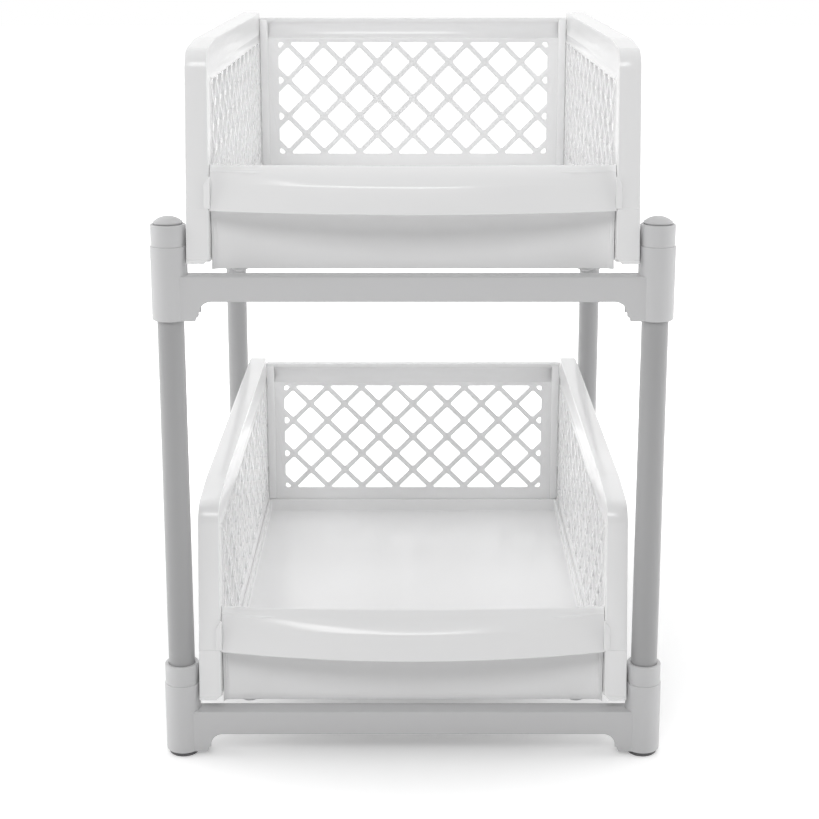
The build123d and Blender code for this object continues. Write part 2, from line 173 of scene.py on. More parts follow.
def node_span(node):
    """Lowest and highest corner of a node, in millimetres."""
    low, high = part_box(node)
    return low / mm, high / mm


tube_low, tube_high = node_span("post_front_right")
tube_radius = (tube_high.x - tube_low.x) / 2
tube_wall = 1.0
tube_edge = 0.25
post_x = (tube_low.x + tube_high.x) / 2
front_y = (tube_low.y + tube_high.y) / 2
rear_y = sum(corner.y for corner in node_span("post_rear_right")) / 2
post_top = tube_high.z
post_places = {
    "front_left": (-post_x, front_y),
    "front_right": (post_x, front_y),
    "rear_left": (-post_x, rear_y),
    "rear_right": (post_x, rear_y),
}
tube_paint = finish(
    "grey_powder_coat",
    colour=(0.41, 0.41, 0.414),
    roughness=(0.26, 0.36),
    shade=0.03,
    patch=14,
    grain=900,
    depth=0.02,
    stretch=(1, 1, 0.25),
)
tube_bm = bmesh.new()
tube_bore = tube_radius - tube_wall
tube_section = [
    (tube_radius, tube_low.z),
    (tube_radius, post_top),
    (tube_bore, post_top),
    (tube_bore, tube_low.z),
]
turned(tube_bm, rounded(tube_section, tube_edge))
tube_mesh = mesh_of(tube_bm, "post_tube", tube_paint)
for corner, (x, y) in post_places.items():
    set_piece(f"steel_tube_{corner}", tube_mesh, f"post_{corner}", "stand", (x, y, 0))

# Feet
# Dark rubber discs with a chamfered rim and a hollow under the middle, so that they grip.
# A stem on each is pressed into the end of its tube.
foot_low, foot_high = node_span("foot_front_right")
foot_radius = (foot_high.x - foot_low.x) / 2
foot_height = tube_low.z
foot_chamfer = 0.6
foot_hollow = 0.5
foot_grip = 3.6
plug_fit = 0.1
stem_radius = tube_bore - plug_fit
foot_rubber = finish(
    "dark_rubber",
    colour=(0.14, 0.14, 0.142),
    roughness=(0.65, 0.85),
    shade=0.15,
    patch=60,
    grain=1400,
    depth=0.03,
)
foot_bm = bmesh.new()
turned(
    foot_bm,
    [
        (foot_grip, foot_hollow),
        (foot_grip + foot_hollow, 0),
        (foot_radius - foot_chamfer, 0),
        (foot_radius, foot_chamfer),
        (foot_radius, foot_height),
        (stem_radius, foot_height),
        (stem_radius, foot_high.z),
    ],
    loop=False,
)
foot_mesh = mesh_of(foot_bm, "foot", foot_rubber)
for corner, (x, y) in post_places.items():
    set_piece(f"rubber_foot_{corner}", foot_mesh, f"foot_{corner}", "stand", (x, y, 0))

# End caps
# Light grey moulded plugs with a low dome, on a neck a little narrower than the dome.
# Each is pushed into the top of its tube until the neck sits on the tube's end.
cap_low, cap_high = node_span("post_cap_front_right")
cap_radius = (cap_high.x - cap_low.x) / 2
cap_neck = 0.6
cap_rim = 0.5
cap_steps = 14
dome_base = post_top + cap_neck + cap_rim
dome_rise = cap_high.z - dome_base
dome_radius = (cap_radius**2 + dome_rise**2) / (2 * dome_rise)
dome_spread = asin(cap_radius / dome_radius)
cap_plastic = finish(
    "light_grey_cap",
    colour=(0.62, 0.62, 0.625),
    roughness=(0.28, 0.38),
    shade=0.02,
    patch=40,
    grain=1200,
    depth=0.015,
)
cap_profile = [
    (stem_radius, cap_low.z),
    (stem_radius, post_top),
    (cap_radius - cap_neck, post_top),
    (cap_radius - cap_neck, post_top + cap_neck),
    (cap_radius, post_top + cap_neck),
]
for k in range(cap_steps):
    angle = dome_spread * (1 - k / cap_steps)
    height = cap_high.z - dome_radius * (1 - cos(angle))
    cap_profile.append((dome_radius * sin(angle), height))
cap_bm = bmesh.new()
turned(cap_bm, cap_profile, loop=False)
cap_mesh = mesh_of(cap_bm, "end_cap", cap_plastic)
for corner, (x, y) in post_places.items():
    set_piece(f"end_cap_{corner}", cap_mesh, f"post_cap_{corner}", "stand", (x, y, 0))

# Crossbars
# One grey moulding for each pair of posts: a hollow bar, a curved gusset under each end and two
# sleeves that slide over the tubes. Ribs stiffen it from below, where it is open.
bar_low, bar_high = node_span("lower_front_crossbar")
bar_height = 12.2
bar_front = -6.8
bar_back = 4.2
bar_drop = 21.6
bar_wall = 2.0
bar_rib = 1.6
bar_pockets = 6
bar_edge = 0.8
sleeve_radius = bar_high.x - post_x
sleeve_top = bar_high.z - bar_low.z - bar_drop
sleeve_edge = 0.5
tube_fit = 0.1
bore_radius = tube_radius + tube_fit
gusset_reach = 12.5
gusset_lean = 1.7
gusset_arc = 6.0
gusset_notch = 0.8
pocket_edge = 0.5
block_edge = 0.3
fine_edge = 0.2
least_lean = 0.4
arc_steps = 10
edge_steps = 3
overrun = 1.0
tiers = {
    "lower": Vector((0, front_y, bar_low.z + bar_drop)),
    "upper": Vector((0, front_y, node_span("upper_front_crossbar")[0].z + bar_drop)),
}


def inset(outline, distance):
    """Outline moved towards its inside. It runs anticlockwise."""
    moved = []
    count = len(outline)
    for i, here in enumerate(outline):
        come = (here - outline[i - 1]).normalized()
        go = (outline[(i + 1) % count] - here).normalized()
        inward = Vector((-come.y - go.y, come.x + go.x)).normalized()
        lean = max(inward.dot(Vector((-come.y, come.x))), least_lean)
        moved.append(here + inward * distance / lean)
    return moved


def edge_rings(low, high, edge, steps=edge_steps):
    """Inset and level of each ring round a slab whose two faces have eased edges."""
    angles = [pi / 2 * k / steps for k in range(steps + 1)]
    rings = [(edge * (1 - sin(a)), low + edge * (1 - cos(a))) for a in angles]
    return rings + [(distance, low + high - level) for distance, level in reversed(rings)]


def slab(bm, outline, low, high, edge, face, steps=edge_steps):
    """Flat outline with eased edges. The function face gives a point its place from its level."""
    rings = []
    for distance, level in edge_rings(low, high, edge, steps):
        rings.append([face(p.x, p.y, level) for p in inset(outline, distance)])
    skin(bm, rings)


def in_plan(a, b, level):
    """Outline seen from above."""
    return (a, b, level)


def in_front(a, b, level):
    """Outline seen from the front."""
    return (a, level, b)


def in_side(a, b, level):
    """Outline seen from the right."""
    return (level, a, b)


def block(bm, x0, x1, y0, y1, z0, z1, edge=block_edge):
    """Bar or plate between two corners, with eased edges."""
    plan = rounded([(x0, y0), (x1, y0), (x1, y1), (x0, y1)], edge, 2)
    slab(bm, plan, z0, z1, edge, in_plan, 2)


def carve(bm, tool_bm):
    """Take the space of one closed model out of another."""
    parts = []
    for model in (bm, tool_bm):
        bmesh.ops.recalc_face_normals(model, faces=model.faces)
        mesh = bpy.data.meshes.new("carving")
        model.to_mesh(mesh)
        part = bpy.data.objects.new("carving", mesh)
        bpy.context.collection.objects.link(part)
        parts.append(part)
    cut = parts[0].modifiers.new("cut", "BOOLEAN")
    cut.operation = "DIFFERENCE"
    cut.solver = "EXACT"
    cut.object = parts[1]
    carved = parts[0].evaluated_get(bpy.context.evaluated_depsgraph_get())
    result = bpy.data.meshes.new_from_object(carved)
    bm.clear()
    bm.from_mesh(result)
    tool_bm.free()
    bpy.data.meshes.remove(result)
    for part in parts:
        mesh = part.data
        bpy.data.objects.remove(part)
        bpy.data.meshes.remove(mesh)


gusset_x = post_x - gusset_reach
arc_x = gusset_x - gusset_lean
gusset_side = []
for k in range(arc_steps + 1):
    angle = pi / 2 * (1 - k / arc_steps)
    x = arc_x - gusset_arc * (1 - cos(angle))
    gusset_side.append((x, -bar_height - gusset_arc * (1 - sin(angle))))
gusset_side += [
    (arc_x, -bar_height - gusset_arc - gusset_notch),
    (arc_x + gusset_notch, -bar_height - gusset_arc - gusset_notch),
    (gusset_x, -bar_drop),
    (post_x, -bar_drop),
    (post_x, 0),
]
bar_outline = [Vector((-x, z)) for x, z in reversed(gusset_side)] + [Vector(p) for p in gusset_side]
bar_bm = bmesh.new()
slab(bar_bm, bar_outline, bar_front, bar_back, bar_edge, in_front)
pocket_bm = bmesh.new()
pocket_end = post_x - sleeve_radius - bar_wall
pocket_pitch = 2 * pocket_end / bar_pockets
socket_radius = (sleeve_radius + bore_radius) / 2
for i in range(bar_pockets):
    start = -pocket_end + i * pocket_pitch
    block(
        pocket_bm,
        start + bar_rib / 2,
        start + pocket_pitch - bar_rib / 2,
        bar_front + bar_wall,
        bar_back - bar_wall,
        -bar_drop - overrun,
        -bar_wall,
        pocket_edge,
    )
for side in (-1, 1):
    socket = [(socket_radius, -bar_drop - overrun), (socket_radius, overrun)]
    turned(pocket_bm, socket, side * post_x, loop=False)
carve(bar_bm, pocket_bm)
sleeve = [
    (sleeve_radius, -bar_drop),
    (sleeve_radius, sleeve_top),
    (bore_radius, sleeve_top),
    (bore_radius, -bar_drop),
]
for side in (-1, 1):
    turned(bar_bm, rounded(sleeve, sleeve_edge), side * post_x)
frame_plastic = finish(
    "grey_moulding",
    colour=(0.64, 0.64, 0.645),
    roughness=(0.4, 0.5),
    shade=0.025,
    patch=9,
    grain=700,
    depth=0.03,
)
bar_mesh = mesh_of(bar_bm, "crossbar", frame_plastic)
for tier, origin in tiers.items():
    for row, y, turn in (("front", front_y, 0), ("rear", rear_y, pi)):
        place = (0, y, origin.z)
        name, node = f"crossbar_{tier}_{row}", f"{tier}_{row}_crossbar"
        set_piece(name, bar_mesh, node, "stand", place, turn)

# Guide rails
# Grey mouldings on both sides of each tier: a plate on a web, with a ring collar at each end that
# is threaded over the tube and rests on the sleeve. End stops hold the drawer in.
rail_low, rail_high = node_span("lower_right_guide_rail")
ring_radius = rail_high.x - post_x
ring_height = 10.2
ring_edge = 0.5
ring_foot_edge = 0.15
ring_bore_edge = 0.3
rail_inner_x = rail_low.x
rail_width = 8.7
rail_outer_x = rail_inner_x + rail_width
rail_top = 18.6
rail_thickness = 2.5
rail_web = 2.0
rail_web_height = 7.6
rail_setback = 5.0
rail_tab = 4.5
rail_stop = 4.0
rail_stop_rise = 3.2
rail_tail = 3.3
rail_tab_bite = 3.2
rail_edge = 0.4
root = 1.0
post_spacing_y = rear_y - front_y
rail_end = post_spacing_y - rail_setback
rail_mid_x = (rail_inner_x + rail_outer_x) / 2
rail_underside = rail_top - rail_thickness
web_bottom = rail_underside - rail_web_height
web_outer_x = rail_mid_x + rail_web / 2
stop_y = rail_end - rail_tail - rail_stop
tab_x = post_x - ring_radius + rail_tab_bite


def rail_model():
    """Right rail of a tier."""
    bm = bmesh.new()
    front_stop_end = rail_setback + rail_stop
    web_top = rail_top - root
    block(bm, rail_inner_x, rail_outer_x, rail_setback, rail_end, rail_underside, rail_top, rail_edge)
    block(bm, rail_mid_x - rail_web / 2, web_outer_x, rail_setback, rail_end, web_bottom, web_top)
    block(bm, web_outer_x - root, rail_outer_x, rail_setback, front_stop_end, web_bottom, web_top)
    block(bm, rail_inner_x, rail_outer_x, stop_y, stop_y + rail_stop, web_top, rail_top + rail_stop_rise)
    for start in (rail_setback, rail_end - rail_tab):
        block(bm, rail_outer_x - root, tab_x, start, start + rail_tab, rail_underside, rail_top)
    for y in (0, post_spacing_y):
        ring = [
            (ring_radius, sleeve_top),
            (ring_radius, sleeve_top + ring_height),
            (bore_radius, sleeve_top + ring_height),
            (bore_radius, sleeve_top),
        ]
        turned(bm, rounded(ring, [ring_foot_edge, ring_edge, ring_bore_edge, ring_foot_edge]), post_x, y)
    return bm


def mirrored(bm):
    """The model's left hand version."""
    bmesh.ops.scale(bm, vec=(-1, 1, 1), verts=bm.verts)
    return bm


rail_meshes = {
    "right": mesh_of(rail_model(), "right_rail", frame_plastic),
    "left": mesh_of(mirrored(rail_model()), "left_rail", frame_plastic),
}
for tier, origin in tiers.items():
    for side, mesh in rail_meshes.items():
        node = f"{tier}_{side}_guide_rail"
        set_piece(f"guide_rail_{tier}_{side}", mesh, node, "stand", origin)

# Drawer sides
# Glossy white mouldings: a flat lattice wall with a rim that turns outwards all round, and a rib
# behind it that runs on the guide rail. Clips and nubs join each to the tray, front and back.
drawer_white = finish(
    "glossy_white_moulding",
    colour=(0.93, 0.93, 0.932),
    roughness=(0.14, 0.22),
    shade=0.012,
    patch=7,
    grain=500,
    depth=0.015,
)
side_low, side_high = node_span("lower_right_side")
side_bottom = side_low.z - tiers["lower"].z
side_top = side_high.z - tiers["lower"].z
side_front = side_low.y - front_y
side_back = side_high.y - front_y
inner_x = 95.6
rim_x = side_high.x
wall = 1.8
sheet_x = inner_x + wall
rim = 2.0
rim_draft = 0.8
rim_edge = 0.45
rake = 9.5
corner_drop = 3.2
corner_run = 36.0
corner_radius = 11.0
brow_radius = 100.0
rear_radius = 4.0
foot_radius_side = 0.6
stile_chamfer = 2.6
stile_ledge = 0.4
stile_ledge_z = 32.0
running_gap = 0.3
runner_bottom = rail_top + running_gap
runner_lip = 1.8
runner_lip_height = 4.0
travel = 200.0
hook_length = 3.0
hook_width = 1.4
hook_rise = 1.0
hook_height = 7.4
lattice_low = 20.0
lattice_height = 69.6
lattice_pitch_z = 22.6
lattice_web = 3.0
hole_round = 1.1
hole_edge = 0.35
least_hole = 3.0
side_pitch = 23.2
side_columns = 11
side_lattice_front = 20.0
side_lattice_margin = 1.4
side_lattice_width = side_pitch * side_columns + side_lattice_margin
drawer_depth = 281.6
panel_fit = 0.2
tray_top = 12.2
tray_wall = 1.5
tray_front = 7.7
clip_first = 40.0
clip_pitch = 40.0
clip_count = 6
clip_length = 10.0
clip_low = 6.0
clip_high = 8.4
nub_length = 6.0
nub_height = 4.0
nub_gap = 0.3
front_nub_rise, front_nub_pitch, front_nub_count = 3.0, 8.0, 2
back_nub_low, back_nub_pitch, back_nub_count = 30.0, 30.0, 3
sheet_bite = 0.5
cutter_edge = 0.05
side_steps = 16
ear_length = 14.0
ear_low = tray_top + panel_fit
front_nub_y, front_nub_low = tray_front + (ear_length - nub_length) / 2, ear_low + front_nub_rise
front_nubs = [(front_nub_y, front_nub_low + i * front_nub_pitch) for i in range(front_nub_count)]
back_nubs = [(drawer_depth, back_nub_low + i * back_nub_pitch) for i in range(back_nub_count)]


def clipped(points, low, high):
    """Part of an outline inside a box, cut one side of the box after the other."""
    for axis, limit, sign in ((0, low[0], 1), (0, high[0], -1), (1, low[1], 1), (1, high[1], -1)):
        kept = []
        for i, here in enumerate(points):
            before = points[i - 1]
            depth, last = sign * (here[axis] - limit), sign * (before[axis] - limit)
            if depth * last < 0:
                kept.append(before.lerp(here, last / (last - depth)))
            if depth >= 0:
                kept.append(here)
        points = kept
        if len(points) < 3:
            return []
    return points


def area_of(points):
    """Area of an outline that runs anticlockwise."""
    return sum(points[i - 1].cross(here) for i, here in enumerate(points)) / 2


def lattice(start, width, pitch, first):
    """Diamond holes with eased corners, cut off at the edge of a rectangle."""
    half_x = (pitch - lattice_web * sqrt(2)) / 2
    half_z = (lattice_pitch_z - lattice_web * sqrt(2)) / 2
    middle = lattice_low + lattice_height / 2
    low, high = (start, lattice_low), (start + width, lattice_low + lattice_height)
    rows = ceil(lattice_height / lattice_pitch_z) + 1
    holes = []
    for row in range(-rows, rows + 1):
        z = middle + row * lattice_pitch_z / 2
        shift = first if row % 2 == 0 else first - pitch / 2
        for column in range(ceil(width / pitch) + 2):
            x = start + shift + column * pitch
            diamond = [Vector((x - half_x, z)), Vector((x, z - half_z)), Vector((x + half_x, z))]
            diamond.append(Vector((x, z + half_z)))
            hole = clipped(diamond, low, high)
            if hole and area_of(hole) > least_hole:
                holes.append(rounded(hole, hole_round, 2))
    return holes


def close_face(bm, loops):
    """Flat face between an outer loop of points and the loops of its holes."""
    points = [vert for loop in loops for vert in loop]
    for a, b, c in tessellate_polygon([[vert.co for vert in loop] for loop in loops]):
        bm.faces.new((points[a], points[b], points[c]))


def pierced(bm, outer_rows, holes, low, high, face):
    """Both faces of a sheet and the walls of its holes, between the rows of its outer edge."""
    rows = [outer_rows]
    for hole in holes:
        rings = []
        for distance, level in edge_rings(low, high, hole_edge, 2):
            rings.append([face(p.x, p.y, level) for p in inset(hole, -distance)])
        rows.append(skin(bm, rings, ends=False))
    close_face(bm, [row[0] for row in rows])
    close_face(bm, [row[-1] for row in rows])


def rectangle(a0, a1, b0, b1, edge=block_edge):
    """Rectangular outline with eased corners."""
    return rounded([(a0, b0), (a1, b0), (a1, b1), (a0, b1)], edge, 2)


stile_lean = rake / (side_top - corner_drop - side_bottom)
side_corners = [
    (side_back, side_bottom),
    (side_back, side_top),
    (side_front + rake + corner_run, side_top),
    (side_front + rake, side_top - corner_drop),
]
for height in (stile_ledge_z, side_bottom + rim):
    lean = (height - side_bottom) * stile_lean
    side_corners.append((side_front + lean + stile_ledge / 2, height))
    side_corners.append((side_front + lean - stile_ledge / 2, height - stile_ledge / 2))
side_corners.append((side_front, side_bottom))
side_radii = [foot_radius_side, rear_radius, brow_radius, corner_radius, 0, 0, 0, 0, foot_radius_side]
side_outline = rounded(side_corners, side_radii, side_steps)


def side_model():
    """Right side of a drawer."""
    bm = bmesh.new()
    rings = []
    section = [(edge, x) for edge, x in edge_rings(inner_x, rim_x, rim_edge)]
    section += [(rim - edge, x) for edge, x in edge_rings(inner_x, rim_x, rim_edge)[:edge_steps:-1]]
    section += [(rim, sheet_x + rim_edge), (rim + rim_edge / 3, sheet_x + rim_edge / 3)]
    section.append((rim + rim_edge, sheet_x))
    for distance, x in section:
        ring = []
        for p in inset(side_outline, distance):
            reach = max(x - sheet_x, 0) / (rim_x - sheet_x)
            rise = (p.y - side_bottom) / (side_top - side_bottom)
            ring.append((x - rim_draft * reach * rise, p.x, p.y))
        rings.append(ring)
    rows = skin(bm, rings, ends=False)
    holes = lattice(side_lattice_front, side_lattice_width, side_pitch, side_lattice_margin / 2)
    for y, z in front_nubs + back_nubs:
        end = y + (nub_length if y < drawer_depth else wall) + nub_gap
        holes.append(rectangle(y - nub_gap, end, z - nub_gap, z + nub_height + nub_gap, fine_edge))
    pierced(bm, rows, holes, inner_x, sheet_x, in_side)
    notch_bm = bmesh.new()
    block(
        notch_bm,
        sheet_x + rim_edge,
        rim_x + overrun,
        side_back - rim - overrun,
        side_back + overrun,
        side_bottom + rim,
        runner_bottom,
        fine_edge,
    )
    corner = [
        Vector((inner_x - overrun, side_bottom - overrun)),
        Vector((inner_x + stile_chamfer + overrun, side_bottom - overrun)),
        Vector((inner_x - overrun, side_bottom + stile_chamfer + overrun)),
    ]
    slab(notch_bm, corner, side_front - overrun, 0, cutter_edge, in_front, 1)
    carve(bm, notch_bm)
    block(bm, sheet_x - sheet_bite, rail_outer_x, 0, side_back, runner_bottom, runner_bottom + rim)
    lip_inner_x, lip_rise_to = rail_outer_x - runner_lip, runner_bottom + runner_lip_height
    block(bm, lip_inner_x, rail_outer_x, 0, side_back, runner_bottom, lip_rise_to)
    hook_x = web_outer_x + running_gap
    hook_y = rail_setback + rail_stop + running_gap + travel
    hook_low = side_bottom + hook_rise
    hook_top = hook_low + hook_height
    block(bm, hook_x, hook_x + hook_width, hook_y, hook_y + hook_length, hook_low, hook_top)
    for i in range(clip_count):
        y = clip_first + i * clip_pitch
        y0, y1 = y - clip_length / 2, y + clip_length / 2
        block(bm, inner_x - panel_fit - tray_wall, inner_x + sheet_bite, y0, y1, clip_low, clip_high)
    return bm


side_meshes = {
    "right": mesh_of(side_model(), "right_side", drawer_white),
    "left": mesh_of(mirrored(side_model()), "left_side", drawer_white),
}
for tier, origin in tiers.items():
    for side, mesh in side_meshes.items():
        name, node = f"drawer_{tier}_{side}_side", f"{tier}_{side}_side"
        set_piece(name, mesh, node, f"{tier}_drawer", origin)

# Drawer trays
# The floor of each drawer: a white moulding with a low upstand, slots for the clips of the sides
# and back, and stiffening ribs below.
tray_low, tray_floor = 2.4, 2.0
tray_fit = 0.05
tray_x = inner_x - tray_fit
tray_back = drawer_depth - panel_fit
tray_corner = 3.0
tray_edge = 0.25
tray_corner_steps = 6
floor_fillet = 1.0
fillet_share = 0.3
tray_rib = 1.6
tray_rib_drop = 1.2
tray_cross_ribs = 5
tray_long_ribs = 3
clip_gap = 0.4
clip_depth = 0.9
back_clip_x = 59.4


def tray_model():
    """Tray of a drawer."""
    bm = bmesh.new()
    corners = [(-tray_x, tray_front), (tray_x, tray_front), (tray_x, tray_back), (-tray_x, tray_back)]
    plan = rounded(corners, tray_corner, tray_corner_steps)
    floor_top = tray_low + tray_floor
    foot = floor_fillet * fillet_share
    section = edge_rings(tray_low, tray_top, tray_edge)
    section += [(tray_wall - edge, z) for edge, z in section[:edge_steps:-1]]
    section += [(tray_wall, floor_top + floor_fillet), (tray_wall + foot, floor_top + foot)]
    section.append((tray_wall + floor_fillet, floor_top))
    skin(bm, [[(p.x, p.y, z) for p in inset(plan, distance)] for distance, z in section])
    slot_bm = bmesh.new()
    low, high = clip_low - clip_gap, clip_high + clip_gap
    reach = clip_length / 2 + clip_gap
    for i in range(clip_count):
        y = clip_first + i * clip_pitch
        for x in (-tray_x, tray_x - tray_wall):
            x0, x1 = x - overrun, x + tray_wall + overrun
            block(slot_bm, x0, x1, y - reach, y + reach, low, high, fine_edge)
    for x in (-back_clip_x, back_clip_x):
        y0, y1 = tray_back - clip_depth, tray_back + overrun
        block(slot_bm, x - reach, x + reach, y0, y1, low, high, fine_edge)
    carve(bm, slot_bm)
    rib_low, rib_high = tray_low - tray_rib_drop, tray_low + sheet_bite
    rib_front, rib_back = tray_front + tray_corner, tray_back - tray_corner
    rib_x = tray_x - tray_corner
    for i in range(tray_cross_ribs):
        y = rib_front + (i + 1) * (rib_back - rib_front) / (tray_cross_ribs + 1)
        block(bm, -rib_x, rib_x, y - tray_rib / 2, y + tray_rib / 2, rib_low, rib_high)
    for i in range(tray_long_ribs):
        x = -rib_x + (i + 1) * 2 * rib_x / (tray_long_ribs + 1)
        block(bm, x - tray_rib / 2, x + tray_rib / 2, rib_front, rib_back, rib_low, rib_high)
    return bm


tray_mesh = mesh_of(tray_model(), "tray", drawer_white)
for tier, origin in tiers.items():
    set_piece(f"drawer_{tier}_tray", tray_mesh, f"{tier}_tray", f"{tier}_drawer", origin)

# Drawer backs
# White mouldings between the sides: a lattice wall under a channelled band, a flange that turns
# back at the top, and a narrow column at each end.
back_top = 104.5
band_height = 12.4
band_depth = 3.0
back_flange = 4.0
column_width = 5.0
column_depth = 1.2
back_pitch = 22.4
back_columns = 8
back_lattice_width = (back_columns - 1 / 2) * back_pitch
back_x = inner_x - panel_fit
back_front, back_rear = drawer_depth, drawer_depth + wall
sheet_edge = 0.3
band_edge = 0.25
column_edge = 0.6


def back_model():
    """Back of a drawer."""
    bm = bmesh.new()
    band_low, band_high = back_top - band_height, back_top - rim
    band_middle = (band_low + band_high) / 2
    outline = rectangle(-back_x, back_x, side_bottom, band_low + sheet_edge, sheet_edge)
    rings = []
    for distance, y in edge_rings(back_front, back_rear, sheet_edge, 2):
        rings.append([in_front(p.x, p.y, y) for p in inset(outline, distance)])
    rows = skin(bm, rings, ends=False)
    holes = lattice(-back_lattice_width / 2, back_lattice_width, back_pitch, back_pitch / 4)
    pierced(bm, rows, holes, back_front, back_rear, in_front)
    chord = band_high - band_low
    bend = (chord**2 / 4 + band_depth**2) / (2 * band_depth)
    spread = asin(chord / 2 / bend)
    channel = []
    for k in range(arc_steps + 1):
        angle = spread * (2 * k / arc_steps - 1)
        channel.append((bend * cos(angle) - bend + band_depth, band_middle + bend * sin(angle)))
    band = [Vector((back_rear + y, z)) for y, z in channel]
    band += [Vector((back_rear + back_flange, band_high)), Vector((back_rear + back_flange, back_top))]
    band += [Vector((back_front, back_top)), Vector((back_front, band_high))]
    band += [Vector((back_front + y, z)) for y, z in reversed(channel[:-1])]
    slab(bm, rounded(band, band_edge, 2), -back_x, back_x, fine_edge, in_side, 2)
    for side in (-1, 1):
        x0, x1 = sorted((side * (back_x - column_width), side * (back_x - panel_fit)))
        y0, y1 = back_front - column_depth, back_rear - wall / 2
        block(bm, x0, x1, y0, y1, ear_low, back_top - rim / 2, column_edge)
        for y, z in back_nubs:
            x0, x1 = sorted((side * (back_x - root), side * sheet_x))
            block(bm, x0, x1, y, y + wall, z, z + nub_height, fine_edge)
    for x in (-back_clip_x, back_clip_x):
        x0, x1 = x - clip_length / 2, x + clip_length / 2
        y0, y1 = tray_back - clip_depth + panel_fit, back_front + sheet_bite
        block(bm, x0, x1, y0, y1, clip_low, clip_high)
    return bm


back_mesh = mesh_of(back_model(), "drawer_back", drawer_white)
for tier, origin in tiers.items():
    name, node = f"drawer_{tier}_back", f"{tier}_back_panel"
    set_piece(name, back_mesh, node, f"{tier}_drawer", origin)

# Handle fronts
# White mouldings that close the drawers: a bowed lip to pull on, over a recessed hollow panel.
# The lip is open below for the fingers, and an ear at each end clips into the side.
cheek_end = node_span("lower_handle_front")[1].x
lip_top = 51.5
lip_edge = 43.4
lip_bottom = 30.7
lip_edge_reach = 11.3
lip_reach = 15.3
lip_bow = 11.5
lip_round = 4.5
lip_crown = 1.2
lip_setback = 4.5
lip_rise = 7.5
crown_places = (0.2, 0.4, 0.55, 0.7, 0.85)
lip_wall = 2.0
lip_low_edge = 0.7
lip_top_edges = (0.3, 0.5)
hollow_edge = 0.3
hollow_round = 1.0
hollow_reach = 5.0
hollow_gap = 0.1
lip_steps = 8
waist_back = 4.6
waist = 31.0
panel_wall = 1.4
panel_edge = 0.4
panel_lap = (0.1, 0.5)
dish_back = 6.6
dish_height = 20.0
foot_back = 4.4
front_bottom = 1.7
front_gap = 0.25
scoop_round = 3.4
scoop_steps = 8
bump_x = 82.6
bump_width = 8.3
bump_low = 0.3
bump_front = 5.5
bump_depth = 1.3
ear_wall = 1.8
cheek_width = cheek_end - back_x
cheek_root = 0.6
cheek_low = 32.0
cheek_high = 47.0
cheek_slope = 4.0
cheek_depth = 1.0
cheek_taper = 0.7
lip_stations = 56
lip_turn = (back_x**2 + lip_bow**2) / (2 * lip_bow)


def lip_section(x):
    """Section of the lip and the top of the panel at a place across the drawer."""
    bow = lip_turn - sqrt(lip_turn**2 - x**2)
    low, edge = Vector((bow - lip_reach, lip_bottom)), Vector((bow - lip_edge_reach, lip_edge))
    back = lip_setback * bow / lip_bow
    top = Vector((back, lip_top))
    inner_top = lip_top - lip_wall
    inner_edge = lip_edge - lip_wall / 2
    panel_slope = waist_back / (lip_top - waist)
    slope = top - edge
    outward = Vector((-slope.y, slope.x)).normalized()
    raised = (edge + top) / 2 + outward * 2 * lip_crown
    rolled = edge + (edge - low).normalized() * lip_rise
    control = raised.lerp(rolled, bow / lip_bow)
    crown = [edge * (1 - t) ** 2 + control * 2 * t * (1 - t) + top * t**2 for t in crown_places]
    outer = [low, edge, *crown, top, Vector((back + lip_wall, lip_top))]
    outer.append(Vector((waist_back + lip_wall, waist)))
    inner = [
        Vector((waist_back, waist)),
        Vector(((lip_top - inner_top) * panel_slope + back, inner_top)),
        Vector((min(-lip_wall, edge.x + lip_wall + hollow_reach), inner_top)),
        Vector((min(edge.x + lip_wall, (lip_top - inner_edge) * panel_slope - hollow_gap), inner_edge)),
        Vector((low.x + lip_wall, lip_bottom)),
    ]
    inner[2].x = min(max(inner[2].x, inner[3].x), inner[1].x - hollow_gap / 2)
    radii = [lip_low_edge, lip_round, *[0] * len(crown), *lip_top_edges, 0]
    radii += [0, hollow_edge, hollow_round, hollow_round, lip_low_edge]
    return rounded(outer + inner, radii, lip_steps)


def on_stile(a, b, level):
    """Outline laid over the raked front of the side's rim. It thins towards its outer edge."""
    taper = cheek_taper * max(abs(a) - back_x, 0) / cheek_width
    thin = taper * (1 - level / cheek_depth)
    return (a, side_front + (b - side_bottom) * stile_lean - panel_fit - cheek_depth + level + thin, b)


def one_hand(corners, side):
    """Outline with eased corners for the right end, or turned over for the left one."""
    points = [Vector((side * a, b)) for a, b in corners]
    return rounded(points if side > 0 else points[::-1], block_edge, 2)


def scoop(bm, panel_x):
    """Recessed panel below the lip. Its face is hollow, and curls forward to a wall at each end."""
    foot = Vector((foot_back, front_bottom))
    dish = Vector((dish_back, dish_height))
    top = Vector((waist_back, waist)) + Vector(panel_lap)
    control = dish * 2 - (foot + top) / 2
    face = []
    for k in range(arc_steps + 1):
        t = k / arc_steps
        face.append(top * (1 - t) ** 2 + control * 2 * t * (1 - t) + foot * t**2)
    stations = []
    for k in range(scoop_steps + 1):
        angle = pi / 2 * k / scoop_steps
        stations.append((panel_x - scoop_round * (1 - cos(angle)), scoop_round * (1 - sin(angle))))
    stations = [(-x, curl) for x, curl in stations] + stations[::-1]
    radii = [0] * arc_steps + [panel_edge] * 2 + [0] * arc_steps
    rings = []
    for x, curl in stations:
        outline = [p - Vector((curl, 0)) for p in face]
        outline += [p + Vector((panel_wall, 0)) for p in reversed(face)]
        rings.append([(x, p.x, p.y) for p in rounded(outline, radii)])
    skin(bm, rings)


